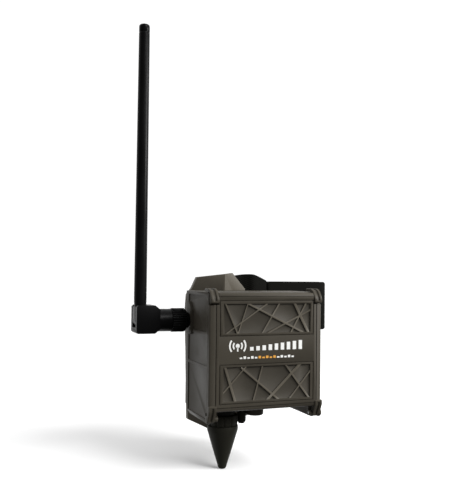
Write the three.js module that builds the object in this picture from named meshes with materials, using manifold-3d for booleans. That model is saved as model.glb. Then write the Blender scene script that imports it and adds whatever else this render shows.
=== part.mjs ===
import * as THREE from 'three';
import Module from 'manifold-3d';
import { mergeVertices } from 'three/addons/utils/BufferGeometryUtils.js';

const wasm = await Module();
wasm.setup();

// ---- driving dimensions, mm ----
// Depths (y) are measured back from the door's front face; the last step moves the
// origin to the flat pad on the back of the tree bracket.
const HALF_W = 44.8;
const CAVITY_X = 41;
const TOP = 43.5;
const FLOOR = -44;
const DEPTH = 57;
const WALL = 3;
const CAVITY_TOP = 39.5;
const GAP = 0.3;
const DOOR_T = 5;
const DOOR_TOP = 43.2;
const BAND_X = 40.4;
const LIP = -42.2;
const BAND_Z = [-38.9, 40.8];
const RIM_Y = DOOR_T + GAP;
const BACK_IN = DEPTH - WALL;
const PANEL_X = [-34.4, 35.1];
const UPPER_Z = [14.2, 35.4];
const LOWER_Z = [-34.2, -9.8];
const POCKET = 1.1;
const CLIP_X = [38.2, 44.4];
const CLIP_PIVOT = [1.8, 37.3];
const HINGE = [6, -47.2];
const FOOT_X = [39.3, 44.9];
const JACK = [49, 21];
const WHIP_X = -83.5;
const WHIP_TOP = 246.5;
const UNDER_Y = 29;
const GLAND_X = -23.6;
const DC_X = -8.25;
const TRIPOD_X = 2.5;
const SPINE_FRONT = DEPTH + 0.5;
const PAD_Y = 61.5;
const CELL_R = 7.1;
const CELL_PITCH = 14.9;
const CELL_X0 = -28.05;
const CELL_Y = [18.6, 33.5];
const CELL_Z = [-32.8, 16.4];
const STRAP_Z = [9.9, 50.8];

const OLIVE = 0x413e37;
const BLACK = 0x161616;
const STEEL = 0x9a9a98;
const BRASS = 0xb08d4a;
const RUBBER = 0x2b2b26;
const GREEN = 0x1f4a2c;

// ---- solids ----
function solid(geometry) {
  const bare = geometry.clone();
  bare.deleteAttribute('normal');
  bare.deleteAttribute('uv');
  const merged = mergeVertices(bare, 1e-5);
  return new wasm.Manifold(new wasm.Mesh({
    numProp: 3,
    vertProperties: new Float32Array(merged.attributes.position.array),
    triVerts: new Uint32Array(merged.index.array),
  }));
}

function toGeometry(body) {
  const mesh = body.getMesh();
  const geometry = new THREE.BufferGeometry();
  const position = new THREE.BufferAttribute(new Float32Array(mesh.vertProperties), 3);
  geometry.setAttribute('position', position);
  geometry.setIndex(new THREE.BufferAttribute(new Uint32Array(mesh.triVerts), 1));
  geometry.computeVertexNormals();
  return geometry;
}

function cut(body, ...tools) {
  return tools.reduce((left, tool) => left.subtract(tool), body);
}

function join(body, ...others) {
  return others.reduce((left, other) => left.add(other), body);
}

// Turns a shape drawn in XY and extruded along Z so that it runs along another axis.
const TURN = {
  x: new THREE.Matrix4().set(0, 0, 1, 0, 1, 0, 0, 0, 0, 1, 0, 0, 0, 0, 0, 1),
  y: new THREE.Matrix4().set(0, 1, 0, 0, 0, 0, 1, 0, 1, 0, 0, 0, 0, 0, 0, 1),
  z: new THREE.Matrix4(),
};

// Points are (y, z) along x, (z, x) along y and (x, y) along z.
function prism(axis, points, from, to, holes = []) {
  const shape = new THREE.Shape(points.map(([u, v]) => new THREE.Vector2(u, v)));
  for (const hole of holes) {
    shape.holes.push(new THREE.Path(hole.map(([u, v]) => new THREE.Vector2(u, v))));
  }
  const geometry = new THREE.ExtrudeGeometry(shape, { depth: to - from, bevelEnabled: false });
  geometry.translate(0, 0, from);
  geometry.applyMatrix4(TURN[axis]);
  return solid(geometry);
}

function box(x, y, z) {
  const geometry = new THREE.BoxGeometry(x[1] - x[0], y[1] - y[0], z[1] - z[0]);
  geometry.translate((x[0] + x[1]) / 2, (y[0] + y[1]) / 2, (z[0] + z[1]) / 2);
  return solid(geometry);
}

function ring(radius, sides, centre, turn = 0) {
  return Array.from({ length: sides }, (_, i) => {
    const a = (2 * Math.PI * (i + turn)) / sides;
    return [centre[0] + radius * Math.cos(a), centre[1] + radius * Math.sin(a)];
  });
}

function rod(axis, radius, from, to, centre, sides = radius < 2.6 ? 12 : 20) {
  return prism(axis, ring(radius, sides, centre), from, to);
}

function tube(axis, radius, bore, from, to, centre, sides = 20) {
  return prism(axis, ring(radius, sides, centre), from, to, [ring(bore, 16, centre)]);
}

// A closed profile of (radius, z) points turned about a vertical line, or one along x.
function turned(profile, sides, place, alongX = false) {
  const points = profile.map(([r, z]) => new THREE.Vector2(r, z));
  if (THREE.ShapeUtils.area(points) < 0) points.reverse();
  if (points[0].x > 0) points.push(points[0].clone());
  const geometry = new THREE.LatheGeometry(points, sides);
  geometry.rotateX(Math.PI / 2);
  if (alongX) geometry.rotateY(Math.PI / 2);
  geometry.translate(...place);
  return solid(geometry);
}

function mirrored(body) {
  return body.mirror([1, 0, 0]);
}

// ---- model ----
const camera = new THREE.Group();
camera.name = 'trail_camera_adapter';

function add(name, body, colour, metalness = 0, roughness = 0.6) {
  const geometry = toGeometry(body);
  geometry.translate(0, -PAD_Y, 0);
  const material = new THREE.MeshStandardMaterial({ color: colour, metalness, roughness });
  material.name = name;
  const mesh = new THREE.Mesh(geometry, material);
  mesh.name = name;
  camera.add(mesh);
}

function bothSides(body) {
  return body.add(mirrored(body));
}

// ---- housing ----
const SCREWS = [[-2, 38], [-2, 14], [-7, -36], [7, -36]];
const BOARD_SCREWS = [[-29, 32], [34, -34]];
const PANEL_SCREWS = [[38.4, 32], [38.4, -35]];

function buildShell() {
  const side = [[RIM_Y, LIP], [14, FLOOR], [DEPTH, FLOOR], [DEPTH, TOP - 1.5], [DEPTH - 1.5, TOP],
    [RIM_Y + 0.5, TOP], [RIM_Y, TOP - 0.5]];
  const plan = [[HALF_W, RIM_Y], [HALF_W, DEPTH - 1.5], [HALF_W - 1.5, DEPTH],
    [1.5 - HALF_W, DEPTH], [-HALF_W, DEPTH - 1.5], [-HALF_W, RIM_Y]];
  let shell = prism('x', side, -HALF_W, HALF_W).intersect(prism('z', plan, FLOOR, TOP));
  shell = cut(shell, box([-CAVITY_X, CAVITY_X], [0, BACK_IN], [FLOOR + WALL, CAVITY_TOP]));
  shell = join(shell, box([-CAVITY_X - 1, CAVITY_X + 1], [RIM_Y, 9.5], [LIP + 0.6, -39.4]));
  // Skirts under both side walls.
  const skirt = [[FLOOR + 2, HALF_W], [-48, HALF_W], [-51, 42.8], [-51, 41],
    [-50, 40], [FLOOR + 2, 40]];
  shell = join(shell, bothSides(prism('y', skirt, 9.6, 50)));
  // Recessed panels in the side walls, in line with the door's three bands.
  const panels = [
    [[5.9, 14.8], [49.5, 14.8], [49.5, 41], [9.4, 41], [5.9, 37.6]],
    [[5.9, -9.4], [49.5, -9.4], [49.5, 12.6], [5.9, 12.6]],
    [[5.9, -39], [9.9, -47.2], [49.5, -47.2], [49.5, -11.6], [5.9, -11.6]],
  ];
  for (const panel of panels) {
    shell = cut(shell, bothSides(prism('x', panel, HALF_W - 0.7, HALF_W + 2)));
  }
  // Boss round the antenna jack, with a seat for its nut and seal.
  const boss = [[39.5, 13], [42, 10.5], [54.5, 10.5], [57, 13], [57, 30], [54, 35.5],
    [46, 35.5], [39.5, 29.5]];
  shell = join(shell, prism('x', boss, -45.9, -HALF_W + 1));
  shell = cut(shell, rod('x', 6.2, -48, -44.2, JACK), rod('x', 3.5, -48, -40, JACK));
  // Hinge lugs for the door.
  const lug = rod('x', 2.1, 36.6, 38.9, HINGE)
    .add(box([36.6, 38.9], [5.7, 8.1], [HINGE[1], LIP + 0.5]));
  shell = join(shell, bothSides(lug));
  shell = cut(shell, bothSides(rod('x', 1.13, 34, 40, HINGE).add(rod('x', 3.1, 38.9, 48, HINGE))));
  // Underside: tripod boss, cable gland hole, power jack hole and cover lugs.
  shell = join(shell,
    turned([[0, -50.7], [6.2, -50.7], [7, -49.9], [7, -43], [5.7, -43], [5.7, -38], [0, -38]], 24,
      [TRIPOD_X, UNDER_Y, 0]));
  shell = cut(shell,
    rod('z', 4.7, -52, -40.5, [TRIPOD_X, UNDER_Y]),
    rod('z', 6.6, -46, -40, [GLAND_X, UNDER_Y]),
    rod('z', 3.7, -46, -40, [DC_X, UNDER_Y]));
  for (const x of [[DC_X - 4.1, DC_X - 2.3], [DC_X + 2.3, DC_X + 4.1]]) {
    const cheek = [[35, -43.5], [38, -43.5], [38, -47.4], [37.2, -48.2], [35.8, -48.2], [35, -47.4]];
    shell = join(shell, prism('x', cheek, ...x));
  }
  shell = cut(shell, rod('x', 0.82, DC_X - 5, DC_X + 5, [36.5, -46.6]));
  // Inside: tray rails, board posts, panel ledges and screw bosses.
  for (const x of [[-38.5, -36], [13, 16]]) {
    shell = join(shell, box(x, [12, 40], [-41.5, -36.7]));
  }
  for (const [x, z] of BOARD_SCREWS) {
    shell = join(shell, rod('y', 3, 47.5, BACK_IN + 0.5, [z, x]));
    shell = cut(shell, rod('y', 1.25, 47, 52.5, [z, x]));
  }
  for (const [x, z] of PANEL_SCREWS) {
    shell = join(shell, box([36.4, HALF_W - 2], [14, 18], [z - 2.4, z + 2.4]));
    shell = cut(shell, rod('y', 1.1, 13, 17, [z, x]));
  }
  for (const [x, z] of SCREWS) {
    shell = join(shell, rod('y', 3.2, 50.5, BACK_IN + 0.5, [z, x]));
    shell = cut(shell, rod('y', 1.6, 51, DEPTH + 1, [z, x]));
  }
  // Groove for the door gasket.
  const seal = prism('y', [[-41.5, -43.2], [-41.5, 43.2], [41, 43.2], [41, -43.2]], RIM_Y - 1,
    RIM_Y + 1.5, [[[-40.1, -41.8], [40, -41.8], [40, 41.8], [-40.1, 41.8]]]);
  return cut(shell, seal);
}

add('main_shell', buildShell(), OLIVE);
add('door_gasket', prism('y', [[-41.35, -43], [-41.35, 43], [40.85, 43], [40.85, -43]], RIM_Y - 0.2,
  RIM_Y + 1.3, [[[-40.25, -42], [40.15, -42], [40.15, 42], [-40.25, 42]]]), RUBBER);

// ---- door ----
// Ribs run from (x, z) to (x, z) across a pocket, some wider than the others.
const UPPER_RIBS = [
  [[-33, 35], [-24, 14.8], 1.1], [[-16, 35], [-23, 14.8], 0.8], [[-1, 35], [-32, 14.4], 0.9],
  [[-15, 35.2], [28, 14.4], 1.3], [[9, 35], [-4, 14.4], 1], [[22, 35], [33, 14.4], 1.9],
  [[31, 35], [19, 14.4], 1], [[35, 30.5], [1, 14.4], 1.1],
];
const LOWER_RIBS = [
  [[-33, -10], [-25, -34.6], 1.8], [[-34.4, -28], [-17, -10], 0.9], [[-20, -11], [9, -34.6], 1.3],
  [[-4, -10], [-11, -34.6], 1], [[26, -10], [0, -34.6], 1.9], [[15, -10], [34, -34.6], 1.3],
  [[35, -15], [18, -34.6], 1],
];

function ribs(list, zRange) {
  const area = box(PANEL_X, [0, 2], zRange);
  return list.map(([from, to, width]) => {
    const dx = to[0] - from[0];
    const dz = to[1] - from[1];
    const k = width / 2 / Math.hypot(dx, dz);
    const e = 1 / Math.hypot(dx, dz);
    const a = [from[0] - dx * e, from[1] - dz * e];
    const b = [to[0] + dx * e, to[1] + dz * e];
    const bar = prism('y', [
      [a[1] + dx * k, a[0] - dz * k], [b[1] + dx * k, b[0] - dz * k],
      [b[1] - dx * k, b[0] + dz * k], [a[1] - dx * k, a[0] + dz * k],
    ], 0.15, POCKET + 0.4);
    return bar.intersect(area);
  });
}

// A square groove in the front face, from its outer edges.
function groove(x, z, width, depth) {
  const inner = box([x[0] + width, x[1] - width], [-2, depth + 1], [z[0] + width, z[1] - width]);
  return cut(box(x, [-1, depth], z), inner);
}

function buildDoor() {
  const side = [[0, BAND_Z[0]], [0.6, -40.8], [1.8, -41.5], [DOOR_T, LIP],
    [DOOR_T, DOOR_TOP], [2.2, DOOR_TOP], [1.2, DOOR_TOP - 0.5], [0, BAND_Z[1]]];
  const plan = [[BAND_X, 0], [HALF_W - 0.7, 1.2], [HALF_W, 2.2], [HALF_W, DOOR_T],
    [-HALF_W, DOOR_T], [-HALF_W, 2.2], [0.7 - HALF_W, 1.2], [-BAND_X, 0]];
  let door = prism('x', side, -HALF_W, HALF_W).intersect(prism('z', plan, FLOOR, DOOR_TOP));
  // Two ribbed pockets with the plain band between them, and two stepped grooves round the lot.
  door = cut(door, box(PANEL_X, [-1, POCKET], UPPER_Z), box(PANEL_X, [-1, POCKET], LOWER_Z));
  door = join(door, ...ribs(UPPER_RIBS, UPPER_Z), ...ribs(LOWER_RIBS, LOWER_Z));
  door = cut(door,
    groove([-37.5, 37.8], [12, 38], 0.7, 0.5), groove([-37.5, 37.8], [-36.4, -7.8], 0.7, 0.5),
    groove([-BAND_X - 0.1, BAND_X + 0.1], [BAND_Z[0] - 0.2, BAND_Z[1] + 0.3], 0.7, 0.6));
  // Hollow on the inside face.
  door = cut(door, box([-34.5, 34.5], [3, 6], [-39, 33]));
  // Clip seats at the top corners, and holes for the clips' pins.
  const seatX = [CLIP_X[0] - GAP, HALF_W + 1];
  const seat = rod('x', 3.1, ...seatX, CLIP_PIVOT).intersect(box(seatX, [-3, 4], [30, 45]))
    .add(box(seatX, [-3, 4], [CLIP_PIVOT[1], 45]));
  door = cut(door, bothSides(seat), bothSides(rod('x', 0.8, 33.2, 40, CLIP_PIVOT)));
  // Hinge arms at the bottom corners: a ridge each side of a groove, ending in a knuckle.
  const arm = [[0.6, -36.8], [-0.6, -37.4], [-0.6, -40], [0.8, -43], [3.5, -48], [6, HINGE[1]],
    [6.4, -45], [4.9, -44], [4.9, -39], [2.4, -37.4]];
  let foot = join(prism('x', arm, ...FOOT_X), rod('x', 2.7, ...FOOT_X, HINGE));
  const middle = (FOOT_X[0] + FOOT_X[1]) / 2;
  const flute = [[-2, -38.4], [0.3, -38.4], [0.3, -40.2], [1.8, -43.2], [4.3, -47.8], [3.4, -52],
    [-2, -50]];
  foot = cut(foot, prism('x', flute, middle - 0.9, middle + 0.9));
  const dome = turned([[0, 44], [2.9, 44], [3.3, 45], [3.1, 46], [2.2, 46.9], [0, 47.3]], 20,
    [0, ...HINGE], true);
  door = join(door, bothSides(foot), dome);
  return cut(door, bothSides(rod('x', 1.13, 38, 43.6, HINGE)));
}

function buildClip() {
  const arm = [[-0.2, 35.6], [-0.9, 36.3], [-1.1, 38.2], [-0.5, 40.2], [2.4, 44.2], [4.4, 45.6],
    [6.4, 46.2], [13.2, 46.2], [14, 45.5], [14, 43.9], [4.9, 43.8], [3.6, 43.5], [3.5, 37.4]];
  let clip = prism('x', arm, ...CLIP_X);
  clip = join(clip, rod('x', 1.9, ...CLIP_X, CLIP_PIVOT));
  const middle = (CLIP_X[0] + CLIP_X[1]) / 2;
  const flute = [[-3, 37.4], [-0.2, 37.4], [0.4, 40], [3.1, 43.6], [4.9, 44.8], [6.7, 45.3],
    [12.2, 45.3], [12.2, 48], [-3, 48]];
  clip = cut(clip, prism('x', flute, middle - 1.1, middle + 1.1));
  return cut(clip, rod('x', 0.8, 34, 43.6, CLIP_PIVOT));
}

const clip = buildClip();
const clipPin = rod('x', 0.72, 33.4, 43.4, CLIP_PIVOT);
const hingePin = rod('x', 1.05, 36.8, 43.3, HINGE);
add('front_door', buildDoor(), OLIVE);
add('latch_clip_right', clip, OLIVE);
add('latch_clip_left', mirrored(clip), OLIVE);
add('latch_pin_right', clipPin, STEEL, 1, 0.3);
add('latch_pin_left', mirrored(clipPin), STEEL, 1, 0.3);
add('hinge_pin_right', hingePin, STEEL, 1, 0.3);
add('hinge_pin_left', mirrored(hingePin), STEEL, 1, 0.3);

// ---- tree bracket ----
const WING_TIP = 38.6;
const TROUGH = 9.5;

function buildBracket() {
  const plan = [[-12, SPINE_FRONT], [12, SPINE_FRONT], [WING_TIP, 79.6], [WING_TIP - 1.4, 82.2],
    [WING_TIP - 3, 81.9], [TROUGH + 0.6, PAD_Y - 0.3], [TROUGH, PAD_Y - 0.3], [TROUGH, PAD_Y],
    [-TROUGH, PAD_Y], [-TROUGH, PAD_Y - 0.3], [-TROUGH - 0.6, PAD_Y - 0.3], [3 - WING_TIP, 81.9],
    [1.4 - WING_TIP, 82.2], [-WING_TIP, 79.6]];
  // Seen from the front: a tall left horn with a sloping inner edge, a lower right one.
  const front = [[-61.8, -35.6], [-6, -36.9], [31.6, -38.4], [39.8, -37.1], [44.7, -33.8],
    [53.8, -30.4], [57.5, -5.5], [45, 5.2], [45, 16], [48, 20], [48, 36.9], [-55, 36.9],
    [-57.5, 9], [-67.5, -23]];
  let bracket = prism('z', plan, -70, 60).intersect(prism('y', front, 50, 90));
  // One slot for the strap in each wing, the right one open at the top.
  bracket = cut(bracket, box([5.4, 15], [55, 72], [8, 60]), box([-20, -14], [55, 80], [2, 42]));
  for (const [x, z] of SCREWS) {
    bracket = cut(bracket, rod('y', 1.7, 55, 63, [z, x]), rod('y', 3.3, 59.4, 63, [z, x]));
  }
  return bracket;
}

add('tree_bracket', buildBracket(), OLIVE);
SCREWS.forEach(([x, z], i) => {
  const screw = rod('y', 3, 59.6, 61.3, [z, x], 16).add(rod('y', 1.4, 51.4, 60, [z, x]));
  const drive = rod('y', 1.3, 60.4, 62, [z, x], 6);
  add(`bracket_screw_${i + 1}`, cut(screw, drive), STEEL, 1, 0.35);
});

// ---- antenna ----
function buildJack() {
  return turned([[0.6, -34], [2, -34], [2, -38.5], [5, -38.5], [5, -40.7], [3.1, -40.7],
    [3.1, -56], [0.6, -56]], 20, [0, ...JACK], true);
}

function buildCollar() {
  const teeth = 26;
  const outline = [];
  for (let i = 0; i < teeth * 2; i += 1) {
    const a = (Math.PI * i) / teeth;
    const r = i % 2 ? 8.4 : 9.1;
    outline.push([JACK[0] + r * Math.cos(a), JACK[1] + r * Math.sin(a)]);
  }
  const grip = prism('x', outline, -59.9, -48.8, [ring(3.4, 24, JACK)]);
  const lips = turned([[3.4, -47.7], [7.4, -47.7], [8.3, -48.8], [8.3, -59.9], [3.4, -59.9]], 28,
    [0, ...JACK], true);
  return grip.add(lips);
}

function buildBase() {
  const arm = rod('x', 8.6, -74, -60.2, JACK, 32);
  const outline = [[11.6, -74], [14.8, -70], [29.4, -70], [32.6, -74], [32.6, -86.9], [31.4, -88.1],
    [12.8, -88.1], [11.6, -86.9]];
  const head = prism('y', outline, JACK[0] - 9.2, JACK[0] + 9.2);
  const slot = rod('y', 5.2, JACK[0] - 5, JACK[0] + 5, [JACK[1], WHIP_X])
    .add(box([-92, -78.3], [JACK[0] - 5, JACK[0] + 5], [JACK[1], 40]))
    .add(box([-92, WHIP_X], [JACK[0] - 5, JACK[0] + 5], [JACK[1] - 5.2, JACK[1] + 1]));
  const bore = rod('y', 1.68, 41.5, 62, [JACK[1], WHIP_X]);
  return cut(join(arm, head), slot, bore);
}

function buildWhip() {
  const knuckle = rod('y', 4.8, JACK[0] - 4.75, JACK[0] + 4.75, [JACK[1], WHIP_X], 28)
    .add(box([WHIP_X - 4.6, WHIP_X + 4.6], [JACK[0] - 4.75, JACK[0] + 4.75], [JACK[1], 31.6]));
  const shaft = turned([[0, JACK[1]], [4.5, JACK[1]], [4.5, 31], [4.7, 35], [4.7, 60],
    [4.1, WHIP_TOP - 5], [4.1, WHIP_TOP - 1], [3.3, WHIP_TOP], [0, WHIP_TOP]], 24,
  [WHIP_X, JACK[0], 0]);
  return cut(join(knuckle, shaft), rod('y', 1.68, 40, 60, [JACK[1], WHIP_X]));
}

add('sma_jack', buildJack(), BRASS, 1, 0.3);
add('sma_nut', tube('x', 5.3, 3.3, -47.2, -45.5, JACK, 6), BRASS, 1, 0.3);
add('sma_seal', tube('x', 4.9, 3.3, -45.3, -44.5, JACK, 20), RUBBER);
add('antenna_collar', buildCollar(), BLACK);
add('antenna_base', buildBase(), BLACK);
add('antenna_pivot', rod('y', 1.6, 41.8, 57.8, [JACK[1], WHIP_X]), BLACK);
add('antenna_whip', buildWhip(), BLACK);

// ---- cable gland, power jack and tripod insert ----
add('gland_body', turned([[3.4, -37.6], [6.3, -37.6], [6.3, -44.3], [9.4, -44.3], [9.4, -48.6],
  [5, -48.6], [5, -53.5], [3.4, -53.5]], 24, [GLAND_X, UNDER_Y, 0]), BLACK);
add('gland_lock_nut', tube('z', 9, 6.45, -40.6, -38, [GLAND_X, UNDER_Y], 6), BLACK);
const flutes = 12;
const nutOutline = [];
for (let i = 0; i < flutes; i += 1) {
  for (const [turn, r] of [[-0.32, 11.3], [0.32, 11.3], [0.5, 10.5]]) {
    const a = (2 * Math.PI * (i + turn)) / flutes;
    nutOutline.push([GLAND_X + r * Math.cos(a), UNDER_Y + r * Math.sin(a)]);
  }
}
const nutBore = rod('z', 5.1, -54.2, -48, [GLAND_X, UNDER_Y]);
const nutMouth = rod('z', 3, -58, -53, [GLAND_X, UNDER_Y]);
add('gland_nut', cut(prism('z', nutOutline, -56.4, -48.9), nutBore, nutMouth), RUBBER);
add('cable_boot', turned([[2.2, -56.7], [11.2, -56.7], [11.7, -57.4], [11.7, -60.2], [3.5, -87.2],
  [3, -88.6], [2.2, -89]], 32, [GLAND_X, UNDER_Y, 0]), RUBBER);
add('dc_jack', turned([[1.1, -37.8], [3.5, -37.8], [3.5, -46.9], [1.1, -46.9]], 20,
  [DC_X, UNDER_Y, 0]), BLACK);
add('dc_jack_nut', tube('z', 4.8, 3.6, -40.6, -38.8, [DC_X, UNDER_Y], 6), STEEL, 1, 0.35);
const coverCap = turned([[0, -56.5], [2.2, -56.5], [3.4, -54.6], [3.4, -47.2], [0, -47.2]], 20,
  [DC_X, UNDER_Y, 0]);
const coverArm = box([DC_X - 2, DC_X + 2], [UNDER_Y, 36.5], [-49, -47.3]);
const coverKnuckle = rod('x', 1.8, DC_X - 2, DC_X + 2, [36.5, -46.6]);
add('dc_jack_cover', cut(join(coverCap, coverArm, coverKnuckle),
  rod('x', 0.82, DC_X - 5, DC_X + 5, [36.5, -46.6])), RUBBER);
add('cover_pin', rod('x', 0.75, DC_X - 3.9, DC_X + 3.9, [36.5, -46.6], 16), STEEL, 1, 0.3);
add('tripod_insert', tube('z', 4.5, 2.7, -50.4, -41, [TRIPOD_X, UNDER_Y]), BRASS, 1, 0.35);

// ---- boards and controls ----
let mainBoard = box([-33, 38], [45.6, 47.2], [-38, 36]);
for (const [x, z] of BOARD_SCREWS) mainBoard = cut(mainBoard, rod('y', 1.4, 40, 50, [z, x]));
add('main_board', mainBoard, GREEN);
BOARD_SCREWS.forEach(([x, z], i) => {
  const screw = rod('y', 2.4, 43.9, 45.4, [z, x], 16).add(rod('y', 1.1, 45, 51.8, [z, x], 12));
  add(`board_screw_${i + 1}`, screw, STEEL, 1, 0.35);
});
add('cellular_module', box([6, 34], [47.5, 50.3], [-4, 28]), STEEL, 1, 0.4);

let controlBoard = box([27.6, 40.4], [12.2, 13.7], [-39, 35.5]);
let controlPanel = box([27, 40.6], [8.2, 9.8], [-11, 36]);
controlPanel = join(controlPanel, box([36.2, 40.6], [9, 11.9], [30, 34.4]),
  box([27, 29], [9, 11.9], [-11, -6]));
controlPanel = cut(controlPanel, box([31, 35.4], [5, 11], [6, 18]), rod('y', 3.3, 5, 11, [-4, 33.4]));
for (const z of [24, 29]) controlPanel = cut(controlPanel, rod('y', 1.7, 5, 11, [z, 33.2]));
for (const [x, z] of PANEL_SCREWS) {
  controlBoard = cut(controlBoard, rod('y', 1.1, 5, 15, [z, x]));
  controlPanel = cut(controlPanel, rod('y', 1.1, 5, 15, [z, x]));
}
add('control_board', controlBoard, GREEN);
add('control_panel', controlPanel, BLACK);
PANEL_SCREWS.forEach(([x, z], i) => {
  const seat = i === 0 ? 8 : 12;
  const screw = rod('y', 1.9, seat - 1.2, seat, [z, x], 16).add(rod('y', 0.9, seat - 1, 16.5, [z, x], 12));
  add(`panel_screw_${i + 1}`, screw, STEEL, 1, 0.35);
});
add('power_switch', box([31.5, 34.9], [6.8, 11.8], [6.6, 12.4]), STEEL, 0, 0.5);
add('test_button', rod('y', 3, 6.8, 11, [-4, 33.4]), 0x8c2f1f, 0, 0.5);
[24, 29].forEach((z, i) => {
  add(`status_led_${i + 1}`, rod('y', 1.4, 7.4, 11.9, [z, 33.2], 16), i ? 0x2f8f4a : 0xb0402a);
});
const socket = cut(box([29, 38.6], [9.6, 12], [-33, -22]), box([29.3, 38.3], [10.2, 11.2], [-32, -15]));
add('sim_socket', socket, STEEL, 1, 0.4);
add('sim_card', box([29.5, 38.1], [10.4, 11], [-31.6, -19.6]), 0xd8d4c8);

// ---- batteries ----
const TRAY_X = [-37.2, 25.8];
const TRAY_Y = [10.8, 42.4];
const TRAY_Z = [-36.4, 19.8];
let tray = cut(box(TRAY_X, TRAY_Y, TRAY_Z),
  box([TRAY_X[0] + 1.6, TRAY_X[1] - 1.6], [5, TRAY_Y[1] - 1.4], [-34.6, 18.2]));
tray = join(tray, box([-10, -1], [9.6, 12], [18.2, 19.8]));
add('battery_tray', tray, BLACK);
add('tray_contact_bottom', box([-35, 23.6], [11.5, 40.4], [-34.3, -33.9]), STEEL, 1, 0.3);
add('tray_contact_top', box([-35, 23.6], [11.5, 40.4], [17.6, 17.9]), STEEL, 1, 0.3);
for (let i = 0; i < 8; i += 1) {
  const column = i % 4;
  const x = CELL_X0 + CELL_PITCH * column;
  const y = CELL_Y[i < 4 ? 0 : 1];
  const up = (column + (i < 4 ? 0 : 1)) % 2 === 0;
  const [low, high] = CELL_Z;
  const profile = [[0, low], [6.4, low], [CELL_R, low + 0.7], [CELL_R, high - 0.7], [6.4, high],
    [2.7, high], [2.7, high + 1], [0, high + 1]];
  const flipped = profile.map(([r, z]) => [r, low + high - z]);
  add(`battery_${i + 1}`, turned(up ? profile : flipped, 16, [x, y, 0]), 0x2c2c30, 0.4, 0.4);
}

// ---- strap and buckle ----
// Plan outline: from inside the bracket's trough, out through the right slot, then the
// folded bundle beside the wing, with one layer carried over the buckle's base plate.
const leadIn = [[-8, 62.1], [5.8, 62.1], [9.6, 59.4], [14, 57.9], [24, 60.5], [24, 63.5], [16, 59.8],
  [13.6, 60.2], [9, 64.2], [-8, 64.2]];
const bundle = [[22, 60.5], [28, 60], [79, 60], [83, 61.5], [85, 65], [84.6, 69], [81, 72.4],
  [76, 74.6], [42, 74.6], [38, 73], [31.4, 70.6], [22, 62.9]];
const overPlate = [[43.2, 72], [75.4, 72], [75.4, 78.4], [43.2, 78.4]];
const overHole = [[46, 74.6], [72.6, 74.6], [72.6, 77.1], [46, 77.1]];
// From the front: the lead-in climbs to the slot, the bundle has rounded outer corners.
const leadFace = [[14.3, -9], [54.6, -9], [56.8, 5], [56.8, 14], [51.8, 27], [11.3, 27]];
const bundleFace = [[STRAP_Z[0], 20], [STRAP_Z[0], 83], [STRAP_Z[0] + 2.5, 86], [46, 86],
  [49.2, 84], [STRAP_Z[1], 80], [STRAP_Z[1], 20]];
let strap = join(prism('z', leadIn, 5, 60).intersect(prism('y', leadFace, 50, 90)),
  prism('z', bundle, 5, 60).intersect(prism('y', bundleFace, 50, 90)));
strap = join(strap, prism('z', overPlate, 12.8, 47.8));
strap = cut(strap, prism('z', overHole, 5, 60));
add('strap_webbing', strap, BLACK);

const plate = box([46.3, 72.3], [74.9, 76.8], [10.6, 50]);
const cheek = [[48, 75], [60, 75], [58, 83.4], [55, 85.4], [51, 85.4], [48, 83]];
let frame = join(plate, prism('z', cheek, 10.6, 12.4), prism('z', cheek, 48.2, 50));
frame = cut(frame, rod('z', 1.6, 5, 60, [53.4, 82]));
add('buckle_frame', frame, STEEL, 1, 0.35);
add('buckle_pin', rod('z', 1.5, 10.8, 49.8, [53.4, 82], 20), STEEL, 1, 0.3);
const leverBar = [[53.4, 79.2], [73.5, 80.2], [74.5, 81], [74, 82], [56, 84.4], [53.4, 85]];
const lever = join(prism('z', leverBar, 12.8, 47.8), rod('z', 3, 12.8, 47.8, [53.4, 82], 28));
add('buckle_lever', cut(lever, rod('z', 1.6, 5, 60, [53.4, 82])), STEEL, 1, 0.35);

export default camera;
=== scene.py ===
import math

import bmesh
import bpy
from mathutils import Matrix, Vector


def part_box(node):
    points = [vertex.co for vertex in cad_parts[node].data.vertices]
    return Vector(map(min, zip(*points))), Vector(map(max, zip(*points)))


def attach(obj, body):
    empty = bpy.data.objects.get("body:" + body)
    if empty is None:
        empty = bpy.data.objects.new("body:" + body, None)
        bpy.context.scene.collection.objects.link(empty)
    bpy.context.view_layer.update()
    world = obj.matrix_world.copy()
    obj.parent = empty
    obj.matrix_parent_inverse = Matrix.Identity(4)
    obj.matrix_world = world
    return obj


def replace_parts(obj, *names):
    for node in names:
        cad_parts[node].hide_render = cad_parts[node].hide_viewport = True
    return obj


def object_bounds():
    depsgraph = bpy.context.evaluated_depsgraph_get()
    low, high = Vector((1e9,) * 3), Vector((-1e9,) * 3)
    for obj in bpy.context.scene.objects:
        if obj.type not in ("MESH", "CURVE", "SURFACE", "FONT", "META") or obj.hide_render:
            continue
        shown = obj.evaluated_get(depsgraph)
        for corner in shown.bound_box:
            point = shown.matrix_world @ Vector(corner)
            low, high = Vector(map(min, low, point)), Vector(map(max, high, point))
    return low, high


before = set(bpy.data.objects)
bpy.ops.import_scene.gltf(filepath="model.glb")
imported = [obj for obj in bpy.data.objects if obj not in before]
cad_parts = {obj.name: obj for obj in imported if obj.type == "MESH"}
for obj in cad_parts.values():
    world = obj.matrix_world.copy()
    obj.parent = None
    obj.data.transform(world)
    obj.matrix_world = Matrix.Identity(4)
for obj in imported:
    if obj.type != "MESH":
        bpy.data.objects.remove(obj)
CAD_LOW, CAD_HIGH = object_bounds()

MM = 0.001
PAD_Y = 61.5  # depth of the frame's origin behind the door's front face, mm
JACK_Y, JACK_Z = 49.0, 21.0
WHIP_X = -83.5
UNDER_Y = 29.0
GLAND_X = -23.6
DC_X = -8.25


def at(x, y, z):
    """A point from millimetres, with y counted back from the door's front face."""
    return Vector((x, y - PAD_Y, z)) * MM


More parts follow.
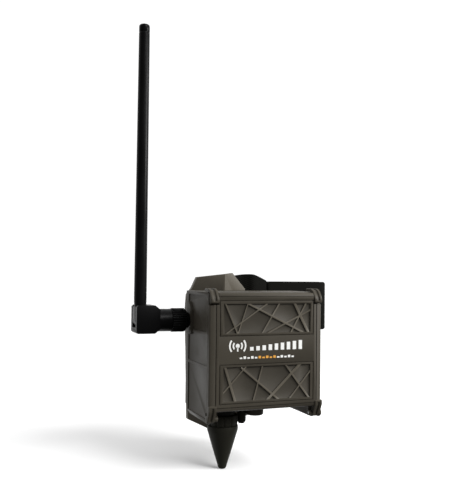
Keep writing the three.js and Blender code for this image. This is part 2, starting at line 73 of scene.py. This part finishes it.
# ---------------------------------------------------------------- materials
def new_material(name):
    mat = bpy.data.materials.new(name)
    mat.use_nodes = True
    tree = mat.node_tree
    return mat, tree, tree.nodes["Principled BSDF"]


def add_node(tree, kind, **values):
    node = tree.nodes.new(kind)
    for key, value in values.items():
        if key in node.inputs:
            node.inputs[key].default_value = value
        else:
            setattr(node, key, value)
    return node


def ramp_between(tree, factor, low, high, dark, light):
    ramp = tree.nodes.new("ShaderNodeValToRGB")
    ramp.color_ramp.elements[0].position = low
    ramp.color_ramp.elements[1].position = high
    ramp.color_ramp.elements[0].color = (*dark, 1)
    ramp.color_ramp.elements[1].color = (*light, 1)
    tree.links.new(factor, ramp.inputs["Fac"])
    return ramp


def shade(colour, k):
    return tuple(min(1.0, c * k) for c in colour)


def moulded(name, colour, rough=0.55, grain=1400.0, bump=0.12, vary=0.16, metal=0.0, spec=0.4):
    """Moulded plastic, rubber or metal: blotches of tone, a fine grain and uneven gloss."""
    mat, tree, bsdf = new_material(name)
    coords = add_node(tree, "ShaderNodeTexCoord")
    blotch = add_node(tree, "ShaderNodeTexNoise", Scale=38.0, Detail=5.0, Roughness=0.6)
    fine = add_node(tree, "ShaderNodeTexNoise", Scale=grain, Detail=3.0, Roughness=0.65)
    for noise in (blotch, fine):
        tree.links.new(coords.outputs["Object"], noise.inputs["Vector"])
    tone = ramp_between(tree, blotch.outputs["Fac"], 0.3, 0.7,
                        shade(colour, 1 - vary), shade(colour, 1 + vary))
    speckle = ramp_between(tree, fine.outputs["Fac"], 0.3, 0.7,
                           (1 - vary * 0.6,) * 3, (1.0, 1.0, 1.0))
    mix = add_node(tree, "ShaderNodeMix", data_type="RGBA", blend_type="MULTIPLY")
    mix.inputs[0].default_value = 1.0
    tree.links.new(tone.outputs["Color"], mix.inputs[6])
    tree.links.new(speckle.outputs["Color"], mix.inputs[7])
    tree.links.new(mix.outputs[2], bsdf.inputs["Base Color"])
    gloss = add_node(tree, "ShaderNodeMapRange")
    gloss.inputs["From Min"].default_value = 0.3
    gloss.inputs["From Max"].default_value = 0.7
    gloss.inputs["To Min"].default_value = max(0.05, rough - 0.07)
    gloss.inputs["To Max"].default_value = min(1.0, rough + 0.07)
    tree.links.new(blotch.outputs["Fac"], gloss.inputs["Value"])
    tree.links.new(gloss.outputs["Result"], bsdf.inputs["Roughness"])
    relief = add_node(tree, "ShaderNodeBump", Strength=bump, Distance=0.0003)
    tree.links.new(fine.outputs["Fac"], relief.inputs["Height"])
    tree.links.new(relief.outputs["Normal"], bsdf.inputs["Normal"])
    bsdf.inputs["Metallic"].default_value = metal
    bsdf.inputs["Specular IOR Level"].default_value = spec
    return mat


def webbing_material():
    """Woven strap: a basket of raised threads, with painted shade in the low places between them,
    and a slight sheen.
    """
    mat, tree, bsdf = new_material("woven_strap")
    coords = add_node(tree, "ShaderNodeTexCoord")
    axes = add_node(tree, "ShaderNodeSeparateXYZ")
    tree.links.new(coords.outputs["Object"], axes.inputs[0])
    along = add_node(tree, "ShaderNodeMath", operation="ADD")
    tree.links.new(axes.outputs["X"], along.inputs[0])
    tree.links.new(axes.outputs["Y"], along.inputs[1])

    def wave(source, pitch):
        scaled = add_node(tree, "ShaderNodeMath", operation="MULTIPLY")
        scaled.inputs[1].default_value = 2 * math.pi / pitch
        tree.links.new(source, scaled.inputs[0])
        sine = add_node(tree, "ShaderNodeMath", operation="SINE")
        tree.links.new(scaled.outputs[0], sine.inputs[0])
        return sine.outputs[0]

    weave = add_node(tree, "ShaderNodeMath", operation="MULTIPLY")
    tree.links.new(wave(along.outputs[0], 0.0021), weave.inputs[0])
    tree.links.new(wave(axes.outputs["Z"], 0.0017), weave.inputs[1])
    height = add_node(tree, "ShaderNodeMapRange")
    height.inputs["From Min"].default_value = -1.0
    tree.links.new(weave.outputs[0], height.inputs["Value"])
    # Colour follows the weave's height: darker where it is low, a painted shade between the
    # threads.
    colour = ramp_between(tree, height.outputs["Result"], 0.1, 0.9,
                          (0.0012, 0.0012, 0.0008), (0.0040, 0.0039, 0.0027))
    tree.links.new(colour.outputs["Color"], bsdf.inputs["Base Color"])
    relief = add_node(tree, "ShaderNodeBump", Strength=0.5, Distance=0.0004)
    tree.links.new(height.outputs["Result"], relief.inputs["Height"])
    tree.links.new(relief.outputs["Normal"], bsdf.inputs["Normal"])
    bsdf.inputs["Roughness"].default_value = 0.8
    bsdf.inputs["Specular IOR Level"].default_value = 0.06
    bsdf.inputs["Sheen Weight"].default_value = 0.01
    return mat


def banded(name, colours, edges, z_low, z_high):
    """A printed sleeve: level bands of colour between two heights."""
    mat, tree, bsdf = new_material(name)
    coords = add_node(tree, "ShaderNodeTexCoord")
    axes = add_node(tree, "ShaderNodeSeparateXYZ")
    tree.links.new(coords.outputs["Object"], axes.inputs[0])
    span = add_node(tree, "ShaderNodeMapRange")
    span.inputs["From Min"].default_value = z_low
    span.inputs["From Max"].default_value = z_high
    tree.links.new(axes.outputs["Z"], span.inputs["Value"])
    ramp = tree.nodes.new("ShaderNodeValToRGB")
    ramp.color_ramp.interpolation = "CONSTANT"
    while len(ramp.color_ramp.elements) < len(colours):
        ramp.color_ramp.elements.new(0.5)
    for element, edge, colour in zip(ramp.color_ramp.elements, edges, colours):
        element.position = edge
        element.color = (*colour, 1)
    tree.links.new(span.outputs["Result"], ramp.inputs["Fac"])
    tree.links.new(ramp.outputs["Color"], bsdf.inputs["Base Color"])
    scuff = add_node(tree, "ShaderNodeTexNoise", Scale=120.0, Detail=4.0)
    tree.links.new(coords.outputs["Object"], scuff.inputs["Vector"])
    gloss = add_node(tree, "ShaderNodeMapRange")
    gloss.inputs["To Min"].default_value = 0.22
    gloss.inputs["To Max"].default_value = 0.42
    tree.links.new(scuff.outputs["Fac"], gloss.inputs["Value"])
    tree.links.new(gloss.outputs["Result"], bsdf.inputs["Roughness"])
    return mat


OLIVE_COLOUR = (0.049, 0.0430, 0.0330)
OLIVE = moulded("olive_moulding", OLIVE_COLOUR, rough=0.46, bump=0.1, vary=0.07, spec=0.1)
# A lighter, glossier copy of the olive: a painted highlight on the door's rib faces.
OLIVE_RIB_PAINTED_HIGHLIGHT = moulded("olive_rib_painted_highlight", shade(OLIVE_COLOUR, 1.9),
                    rough=0.36, bump=0.05, vary=0.05, spec=0.35)
# A darker copy of the olive: painted shade on the recessed floors of the door's pockets.
OLIVE_POCKET_PAINTED_SHADE = moulded("olive_pocket_painted_shade", shade(OLIVE_COLOUR, 0.92),
                       rough=0.55, bump=0.2, vary=0.08, spec=0.2)
# A copy of the housing's olive, 1.9 times lighter, for the bracket: painted light on a part of the
# same olive moulding.
OLIVE_BRACKET_PAINTED_LIGHT = moulded("olive_bracket_painted_light", shade(OLIVE_COLOUR, 1.9),
                        rough=0.5, bump=0.15, vary=0.08, spec=0.25)
BLACK = moulded("black_moulding", (0.0040, 0.0040, 0.0042),
                rough=0.34, bump=0.06, vary=0.1, spec=0.07)
BLACK_DULL = moulded("black_nylon", (0.012, 0.012, 0.0105),
                     rough=0.6, bump=0.12, vary=0.1, spec=0.15)
RUBBER = moulded("dark_rubber", (0.021, 0.0203, 0.0152),
                 rough=0.5, grain=900.0, bump=0.12, vary=0.12, spec=0.08)
STEEL = moulded("plated_steel", (0.55, 0.55, 0.54), rough=0.32, bump=0.04, vary=0.06, metal=1.0)
BRASS = moulded("turned_brass", (0.62, 0.44, 0.18), rough=0.3, bump=0.04, vary=0.08, metal=1.0)
BOARD = moulded("solder_mask", (0.012, 0.075, 0.028), rough=0.35, bump=0.08, vary=0.12)
SHIELD = moulded("shield_can", (0.62, 0.62, 0.6), rough=0.38, bump=0.03, vary=0.05, metal=1.0)
WHITE = moulded("white_print", (0.78, 0.78, 0.76), rough=0.5, bump=0.02, vary=0.03)
AMBER = moulded("amber_print", (0.7, 0.33, 0.05), rough=0.5, bump=0.02, vary=0.03)
CARD = moulded("card_plastic", (0.72, 0.7, 0.64), rough=0.45, bump=0.02, vary=0.04)
RED = moulded("red_plastic", (0.42, 0.04, 0.02), rough=0.3, bump=0.04, vary=0.06)
GREEN = moulded("green_lens", (0.03, 0.4, 0.08), rough=0.15, bump=0.0, vary=0.04)
WEBBING = webbing_material()
SLEEVE_COLOURS = [(0.5, 0.5, 0.48), (0.03, 0.05, 0.09), (0.6, 0.6, 0.58), (0.03, 0.05, 0.09)]
SLEEVE_EDGES = [0.0, 0.03, 0.2, 0.26]  # where each colour starts, as a part of the cell's length
CELL = banded("cell_sleeve", SLEEVE_COLOURS, SLEEVE_EDGES, -0.0338, 0.0174)

LOOKS = {
    "main_shell": OLIVE, "front_door": OLIVE, "tree_bracket": OLIVE_BRACKET_PAINTED_LIGHT,
    "latch_clip_left": OLIVE, "latch_clip_right": OLIVE,
    "door_gasket": RUBBER, "sma_seal": RUBBER, "gland_nut": RUBBER, "cable_boot": RUBBER,
    "dc_jack_cover": RUBBER, "antenna_collar": BLACK, "antenna_base": BLACK,
    "antenna_whip": BLACK, "antenna_pivot": BLACK,
    "gland_body": BLACK_DULL, "gland_lock_nut": BLACK_DULL, "dc_jack": BLACK_DULL,
    "control_panel": BLACK_DULL, "battery_tray": BLACK_DULL, "main_board": BOARD,
    "control_board": BOARD, "cellular_module": SHIELD, "sim_socket": SHIELD, "sim_card": CARD,
    "power_switch": SHIELD, "test_button": RED, "status_led_1": RED, "status_led_2": GREEN,
    "sma_jack": BRASS, "sma_nut": BLACK, "tripod_insert": BRASS,
    "strap_webbing": WEBBING,
}
for node_name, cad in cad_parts.items():
    look = LOOKS.get(node_name, CELL if node_name.startswith("battery_") else STEEL)
    if not cad.data.materials:
        cad.data.materials.append(look)
    for index in range(len(cad.data.materials)):
        cad.data.materials[index] = look


# ---------------------------------------------------------------- mesh helpers
def link(name, mesh, body, material):
    obj = bpy.data.objects.new(name, mesh)
    bpy.context.collection.objects.link(obj)
    mesh.materials.clear()
    mesh.materials.append(material)
    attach(obj, body)
    return obj


def smooth_by_angle(mesh, degrees):
    """Smooth shading, with edges sharper than the angle kept sharp."""
    bm = bmesh.new()
    bm.from_mesh(mesh)
    limit = math.radians(degrees)
    for face in bm.faces:
        face.smooth = True
    for edge in bm.edges:
        edge.smooth = len(edge.link_faces) == 2 and edge.calc_face_angle(0.0) < limit
    bm.to_mesh(mesh)
    bm.free()


def apply_modifiers(obj):
    graph = bpy.context.evaluated_depsgraph_get()
    graph.update()
    done = bpy.data.meshes.new_from_object(obj.evaluated_get(graph))
    obj.modifiers.clear()
    obj.data = done


def bevel(obj, width, segments=2, degrees=32.0):
    mod = obj.modifiers.new("soft_edges", "BEVEL")
    mod.width = width * MM
    mod.segments = segments
    mod.limit_method = "ANGLE"
    mod.angle_limit = math.radians(degrees)
    mod.use_clamp_overlap = True
    apply_modifiers(obj)
    smooth_by_angle(obj.data, 38.0)


def softened(node, body, width, segments=2, material=None):
    """A copy of a CAD node with rounded edges, standing for it."""
    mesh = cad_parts[node].data.copy()
    bm = bmesh.new()
    bm.from_mesh(mesh)
    bmesh.ops.remove_doubles(bm, verts=bm.verts, dist=2e-6)
    bmesh.ops.dissolve_limit(bm, angle_limit=math.radians(0.6), verts=bm.verts, edges=bm.edges)
    bm.to_mesh(mesh)
    bm.free()
    obj = link("look_" + node, mesh, body, material or LOOKS[node])
    bevel(obj, width, segments)
    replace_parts(obj, node)
    return obj


def turned(name, profile, centre, body, material, steps=64, axis="z"):
    """A closed (radius, height) profile in mm, turned about a line through centre."""
    bm = bmesh.new()
    rings = []
    for radius, height in profile:
        if radius < 1e-6:
            rings.append([bm.verts.new((0, 0, height * MM))])
            continue
        row = []
        for i in range(steps):
            a = 2 * math.pi * i / steps
            across = radius * MM * math.cos(a)
            along = radius * MM * math.sin(a)
            row.append(bm.verts.new((across, along, height * MM)))
        rings.append(row)
    closed = profile[0][0] > 1e-6
    pairs = list(zip(rings, rings[1:] + ([rings[0]] if closed else [])))
    for low, high in pairs:
        for i in range(steps):
            j = (i + 1) % steps
            corners = [low[i % len(low)], low[j % len(low)],
                       high[j % len(high)], high[i % len(high)]]
            unique = []
            for vert in corners:
                if vert not in unique:
                    unique.append(vert)
            if len(unique) > 2:
                bm.faces.new(unique)
    bmesh.ops.recalc_face_normals(bm, faces=bm.faces)
    if axis == "x":
        bm.transform(Matrix.Rotation(math.radians(90), 4, "Y"))
    bm.transform(Matrix.Translation(centre))
    mesh = bpy.data.meshes.new(name)
    bm.to_mesh(mesh)
    bm.free()
    smooth_by_angle(mesh, 35.0)
    return link(name, mesh, body, material)


def slab(name, outline, depth, place, body, material, edge=0.0):
    """An (x, z) outline in mm, front face at depth[0] and back at depth[1]."""
    bm = bmesh.new()
    front = [bm.verts.new(at(x + place[0], depth[0], z + place[1])) for x, z in outline]
    back = [bm.verts.new(at(x + place[0], depth[1], z + place[1])) for x, z in outline]
    bm.faces.new(front)
    bm.faces.new(list(reversed(back)))
    count = len(outline)
    for i in range(count):
        j = (i + 1) % count
        bm.faces.new((front[j], front[i], back[i], back[j]))
    bmesh.ops.recalc_face_normals(bm, faces=bm.faces)
    mesh = bpy.data.meshes.new(name)
    bm.to_mesh(mesh)
    bm.free()
    obj = link(name, mesh, body, material)
    if edge:
        bevel(obj, edge)
    return obj


# ---------------------------------------------------------------- housing, door and bracket
softened("main_shell", "housing", 0.45)
door = softened("front_door", "door", 0.22)
door.data.materials.append(OLIVE_RIB_PAINTED_HIGHLIGHT)
door.data.materials.append(OLIVE_POCKET_PAINTED_SHADE)
POCKET_X = (-34.5, 35.2)
POCKET_Z = ((14.1, 35.5), (-34.3, -9.7))
POCKET_DEPTH = 1.6
RIB_DEPTH = (0.1, 0.6)  # a rib's face lies between these; the pocket's floor is deeper


def in_pocket(point):
    """Whether a point of the door's mesh lies inside one of its two ribbed pockets."""
    x, y, z = point / MM
    level = any(low < z < high for low, high in POCKET_Z)
    return POCKET_X[0] < x < POCKET_X[1] and level and y + PAD_Y < POCKET_DEPTH


# Rib faces in the pockets get the painted-highlight olive (index 1), pocket floors the
# painted-shade olive (index 2).
for face in door.data.polygons:
    if all(in_pocket(door.data.vertices[i].co) for i in face.vertices):
        depth = face.center.y / MM + PAD_Y
        face.material_index = 1 if RIB_DEPTH[0] < depth < RIB_DEPTH[1] else 2
softened("tree_bracket", "housing", 0.7)
for side in ("left", "right"):
    softened("latch_clip_" + side, "latch_" + side, 0.4)

# ---------------------------------------------------------------- antenna
softened("antenna_base", "antenna_base", 1.1, segments=3)
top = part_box("antenna_whip")[1].z / MM
whip = turned("look_whip_rod", [
    (0, 23), (4.4, 23), (4.4, 31), (4.7, 34.5), (4.75, 38), (4.7, 60), (4.4, 150), (4.12, top - 7),
    (4.1, top - 6.6), (3.9, top - 6.3), (3.9, top - 5.9), (4.1, top - 5.6), (4.1, top - 1.6),
    (3.9, top - 0.7), (3.3, top - 0.15), (0, top)], at(WHIP_X, JACK_Y, 0), "whip", BLACK)
knuckle = turned("look_whip_knuckle", [
    (1.68, -4.7), (4.2, -4.7), (4.7, -4.2), (4.7, 4.2), (4.2, 4.7), (1.68, 4.7)],
    Vector((0, 0, 0)), "whip", BLACK, steps=56)
knuckle.data.transform(Matrix.Rotation(math.radians(90), 4, "X"))
knuckle.data.transform(Matrix.Translation(at(WHIP_X, JACK_Y, JACK_Z)))
slab("look_whip_block", [(-4.55, 0), (4.55, 0), (4.55, 10.5), (-4.55, 10.5)],
     (JACK_Y - 4.7, JACK_Y + 4.7), (WHIP_X, JACK_Z), "whip", BLACK, edge=0.5)
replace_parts(whip, "antenna_whip")


def knurled_collar():
    """A grip collar: rounded ribs round a turned sleeve with a chamfered lip."""
    teeth, per_tooth = 30, 6
    bm = bmesh.new()
    stations = [(-47.7, 7.3, 0.0), (-48.3, 8.0, 0.0), (-48.8, 8.4, 0.25), (-49.4, 8.55, 1.0),
                (-59.0, 8.55, 1.0), (-59.5, 8.4, 0.3), (-59.9, 7.9, 0.0)]
    rows = []
    for x, radius, ribbing in stations:
        row = []
        for i in range(teeth * per_tooth):
            a = 2 * math.pi * i / (teeth * per_tooth)
            r = radius + 0.5 * ribbing * max(-0.5, math.cos(a * teeth))
            row.append(bm.verts.new(at(x, JACK_Y + r * math.cos(a), JACK_Z + r * math.sin(a))))
        rows.append(row)
    for x in (-59.9, -47.7):
        row = []
        for i in range(teeth * per_tooth):
            a = 2 * math.pi * i / (teeth * per_tooth)
            row.append(bm.verts.new(at(x, JACK_Y + 3.4 * math.cos(a), JACK_Z + 3.4 * math.sin(a))))
        rows.append(row)
    count = teeth * per_tooth
    for low, high in zip(rows, rows[1:] + rows[:1]):
        for i in range(count):
            j = (i + 1) % count
            bm.faces.new((low[i], low[j], high[j], high[i]))
    bmesh.ops.recalc_face_normals(bm, faces=bm.faces)
    mesh = bpy.data.meshes.new("look_collar")
    bm.to_mesh(mesh)
    bm.free()
    smooth_by_angle(mesh, 40.0)
    return link("look_collar", mesh, "collar", BLACK)


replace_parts(knurled_collar(), "antenna_collar")

# ---------------------------------------------------------------- underside
under = at(GLAND_X, UNDER_Y, 0)
boot = turned("look_cable_boot", [
    (2.2, -56.7), (11.1, -56.7), (11.5, -56.9), (11.7, -57.4), (11.7, -59.6), (11.5, -60.6),
    (10.7, -63.2), (7.6, -73.4), (4.6, -83.2), (3.6, -86.4), (3.3, -87.6), (3.0, -88.5),
    (2.6, -88.95), (2.2, -89.0)],
    under, "housing", RUBBER, steps=72)
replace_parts(boot, "cable_boot")
softened("gland_nut", "gland_nut", 0.45)
gland = turned("look_gland_body", [
    (3.4, -37.6), (6.3, -37.6), (6.3, -44.25), (9.1, -44.25), (9.4, -44.6), (9.4, -48.2),
    (9.1, -48.6), (5.0, -48.6), (5.0, -53.5), (3.4, -53.5)], under, "housing", BLACK_DULL)
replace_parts(gland, "gland_body")
softened("dc_jack_cover", "jack_cover", 0.35)
for node_name, width in (("buckle_frame", 0.4), ("buckle_lever", 0.5)):
    softened(node_name, "buckle_lever" if node_name == "buckle_lever" else "housing", width,
             material=STEEL)


# ---------------------------------------------------------------- strap
def rounded_path(points, radius, steps=6):
    """A closed path with its corners rounded, from (x, y) corner points."""
    count = len(points)
    path = []
    for i in range(count):
        corner = Vector(points[i])
        before = Vector(points[i - 1]) - corner
        after = Vector(points[(i + 1) % count]) - corner
        reach = min(radius, before.length * 0.48, after.length * 0.48)
        start = corner + before.normalized() * reach
        end = corner + after.normalized() * reach
        for k in range(steps + 1):
            t = k / steps
            path.append((1 - t) ** 2 * start + 2 * t * (1 - t) * corner + t ** 2 * end)
    return path


def ribbon(name, path, closed, thick, lows, highs, body="housing"):
    """Webbing of a given thickness along a plan path, with heights at each path point."""
    count = len(path)
    normals = []
    for i in range(count):
        ahead = path[(i + 1) % count] if closed or i + 1 < count else path[i]
        behind = path[i - 1] if closed or i else path[i]
        direction = (ahead - behind).normalized()
        normals.append(Vector((direction.y, -direction.x)))
    bm = bmesh.new()
    rows = []
    soft = thick * 0.35
    for i in range(count):
        low, high = lows[i], highs[i]
        section = [(-0.5, low + soft), (-0.5, high - soft), (-0.22, high), (0.22, high),
                   (0.5, high - soft), (0.5, low + soft), (0.22, low), (-0.22, low)]
        row = []
        for side, z in section:
            row.append(bm.verts.new(at(*(path[i] + normals[i] * thick * side), z)))
        rows.append(row)
    pairs = list(zip(rows, rows[1:]))
    if closed:
        pairs.append((rows[-1], rows[0]))
    for one, two in pairs:
        for k in range(8):
            m = (k + 1) % 8
            bm.faces.new((one[k], one[m], two[m], two[k]))
    if not closed:
        bm.faces.new(rows[0])
        bm.faces.new(list(reversed(rows[-1])))
    bmesh.ops.recalc_face_normals(bm, faces=bm.faces)
    mesh = bpy.data.meshes.new(name)
    bm.to_mesh(mesh)
    bm.free()
    smooth_by_angle(mesh, 50.0)
    return link(name, mesh, body, WEBBING)


STRAP_LOW, STRAP_HIGH = 9.9, 50.8
CURL_X = 80.0  # the fold's far end rolls in beyond this
BUNDLE = [(24.5, 60.5), (79.0, 60.3), (85.0, 65.0), (80.0, 73.2), (43.0, 74.4), (31.5, 70.2)]
strap_parts = []
for layer in range(4):
    inset = 0.8 + 1.55 * layer
    centre = Vector((54.5, 67.2))
    corners = []
    for x, y in BUNDLE:
        offset = Vector((x, y)) - centre
        shrink = Vector((1 - inset * 1.1 / 31, 1 - inset / 7.4))
        corners.append((centre.x + offset.x * shrink.x, centre.y + offset.y * shrink.y))
    path = rounded_path(corners, 5.0 - layer * 0.9)
    curl = [max(0.0, (point.x - CURL_X) / 5.0) ** 2 for point in path]
    low = [STRAP_LOW + 0.2 + 0.5 * layer + 2.4 * c for c in curl]
    high = [STRAP_HIGH - 0.1 - 0.7 * (layer % 2) - 0.3 * layer - 4.6 * c for c in curl]
    strap_parts.append(ribbon(f"look_strap_loop_{layer + 1}", path, True, 1.35, low, high))


def eased(points, steps=8):
    """A smooth open curve through plan points with a height at each."""
    out = []
    count = len(points)
    for i in range(count - 1):
        p0, p1 = points[max(i - 1, 0)], points[i]
        p2, p3 = points[i + 1], points[min(i + 2, count - 1)]
        for k in range(steps):
            t = k / steps
            out.append([0.5 * ((2 * b) + (c - a) * t + (2 * a - 5 * b + 4 * c - d) * t * t
                               + (3 * b - a - 3 * c + d) * t ** 3)
                        for a, b, c, d in zip(p0, p1, p2, p3)])
    out.append(list(points[-1]))
    return out


lead = eased([(-7.6, 63.1, 13.6, 54.6), (3.0, 63.1, 13.2, 56.2), (8.6, 61.4, 12.8, 56.7),
              (13.5, 59.2, 12.4, 56.5), (19.0, 59.9, 11.6, 54.6), (26.0, 61.6, 10.6, 51.6)])
strap_parts.append(ribbon("look_strap_lead", [Vector(p[:2]) for p in lead], False, 1.4,
                          [p[2] for p in lead], [p[3] for p in lead]))
over = eased([(43.8, 74.2, 13.0, 47.6), (45.4, 77.6, 12.9, 47.6), (52.0, 77.9, 12.9, 47.6),
              (68.0, 77.9, 12.9, 47.6), (73.2, 77.4, 12.9, 47.6), (74.9, 74.0, 13.0, 47.6)])
strap_parts.append(ribbon("look_strap_over", [Vector(p[:2]) for p in over], False, 1.2,
                          [p[2] for p in over], [p[3] for p in over]))
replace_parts(strap_parts[0], "strap_webbing")


# ---------------------------------------------------------------- mark on the door's plain band
MARK_DEPTH = (-0.06, 0.2)
EMBLEM = (-23.6, 5.2)


def bar(name, x, z, width, height, material=WHITE):
    outline = [(x, z), (x + width, z), (x + width, z + height), (x, z + height)]
    return slab(name, outline, MARK_DEPTH, (0, 0), "door", material)


def arc(name, centre, radius, width, start, stop, material=WHITE, steps=14):
    outline = []
    for r, turn in ((radius + width / 2, 1), (radius - width / 2, -1)):
        for k in range(steps + 1):
            t = k / steps if turn > 0 else 1 - k / steps
            a = math.radians(start + (stop - start) * t)
            outline.append((centre[0] + r * math.cos(a), centre[1] + r * math.sin(a)))
    return slab(name, outline, MARK_DEPTH, (0, 0), "door", material)


BARS = 9
for i in range(BARS):
    tall = 2.6 + 0.5 * i
    bar(f"mark_bar_{i + 1}", -14.0 + 4.9 * i, 1.6, 2.8, tall)
for i in range(2):
    for turn, heading in (("l", 180), ("r", 0)):
        arc(f"mark_arc_{turn}{i + 1}", EMBLEM, 3.4 + 2.7 * i, 1.2, heading - 40, heading + 40)
arc("mark_dot", EMBLEM, 0.8, 1.55, 0, 359.9, steps=24)
bar("mark_mast", -24.1, 1.2, 1.0, 3.0)
DASHES = 15
for i in range(DASHES):
    ink = AMBER if 5 <= i <= 9 else WHITE
    bar(f"mark_dash_{i + 1}", -22.0 + 2.95 * i, -4.2, 2.0, 1.1 + 0.7 * (i % 2), ink)

# ---------------------------------------------------------------- stage, light and camera
white_floor = bpy.data.materials.new("pale_floor")
white_floor.use_nodes = True
pale = white_floor.node_tree.nodes["Principled BSDF"]
pale.inputs["Base Color"].default_value = (0.93, 0.93, 0.93, 1)
pale.inputs["Roughness"].default_value = 0.9
floor_z = CAD_LOW.z - 0.0003
floor_mesh = bpy.data.meshes.new("floor")
floor_plan = [(-4, -2.5), (4, -2.5), (4, 5), (-4, 5)]
floor_mesh.from_pydata([(x, y, floor_z) for x, y in floor_plan], [], [(0, 1, 2, 3)])
floor_mesh.materials.append(white_floor)
floor = bpy.data.objects.new("floor", floor_mesh)
bpy.context.collection.objects.link(floor)
floor.visible_diffuse = False
floor.visible_glossy = False

world = bpy.data.worlds.new("studio")
world.use_nodes = True
sky = world.node_tree
heading = add_node(sky, "ShaderNodeTexCoord")
parts = add_node(sky, "ShaderNodeSeparateXYZ")
sky.links.new(heading.outputs["Generated"], parts.inputs[0])


def fade(axis, low, high):
    span = add_node(sky, "ShaderNodeMapRange", interpolation_type="SMOOTHSTEP")
    span.inputs["From Min"].default_value = low
    span.inputs["From Max"].default_value = high
    sky.links.new(parts.outputs[axis], span.inputs["Value"])
    return span.outputs["Result"]


# White behind the object and overhead, dimmer in front and beside it.
bright = add_node(sky, "ShaderNodeMath", operation="MAXIMUM")
sky.links.new(fade("Y", -0.1, 0.4), bright.inputs[0])
sky.links.new(fade("Z", 0.45, 0.95), bright.inputs[1])
power = add_node(sky, "ShaderNodeMapRange")
power.inputs["To Min"].default_value = 0.2
power.inputs["To Max"].default_value = 1.06
sky.links.new(bright.outputs[0], power.inputs["Value"])
sky.nodes["Background"].inputs["Color"].default_value = (1, 1, 1, 1)
sky.links.new(power.outputs["Result"], sky.nodes["Background"].inputs["Strength"])
scene = bpy.context.scene
scene.world = world
scene.view_settings.view_transform = "Standard"


def soft_light(name, place, target, size, power):
    data = bpy.data.lights.new(name, "AREA")
    data.size = size
    data.energy = power
    lamp = bpy.data.objects.new(name, data)
    lamp.location = place
    lamp.rotation_euler = (Vector(target) - Vector(place)).to_track_quat("-Z", "Y").to_euler()
    bpy.context.collection.objects.link(lamp)


AIM = (0.0, -0.03, 0.0)
soft_light("key", (0.46, -0.30, 0.30), AIM, 0.22, 4.0)
sun = bpy.data.lights.new("sun", "SUN")
sun.energy = 2.0
sun.angle = math.radians(24)
sun_lamp = bpy.data.objects.new("sun", sun)
sun_lamp.rotation_euler = Vector((0.42, -0.70, 0.57)).to_track_quat("Z", "Y").to_euler()
bpy.context.collection.objects.link(sun_lamp)

YAW, PITCH, ROLL = math.radians(21.20), math.radians(1.95), math.radians(0.64)
forward = Vector((math.sin(YAW) * math.cos(PITCH), math.cos(YAW) * math.cos(PITCH),
                  math.sin(PITCH)))
level = Vector((math.cos(YAW), -math.sin(YAW), 0))
upright = level.cross(forward)
right = math.cos(ROLL) * level + math.sin(ROLL) * upright
up = -math.sin(ROLL) * level + math.cos(ROLL) * upright
pose = Matrix((right, up, -forward)).transposed().to_4x4()
pose.translation = at(-206.1, -450, 57.5)
lens = bpy.data.cameras.new("camera")
lens.lens = 48.53
lens.sensor_width = 36.0
lens.clip_start = 0.01
camera = bpy.data.objects.new("camera", lens)
camera.matrix_world = pose
bpy.context.collection.objects.link(camera)
scene.camera = camera
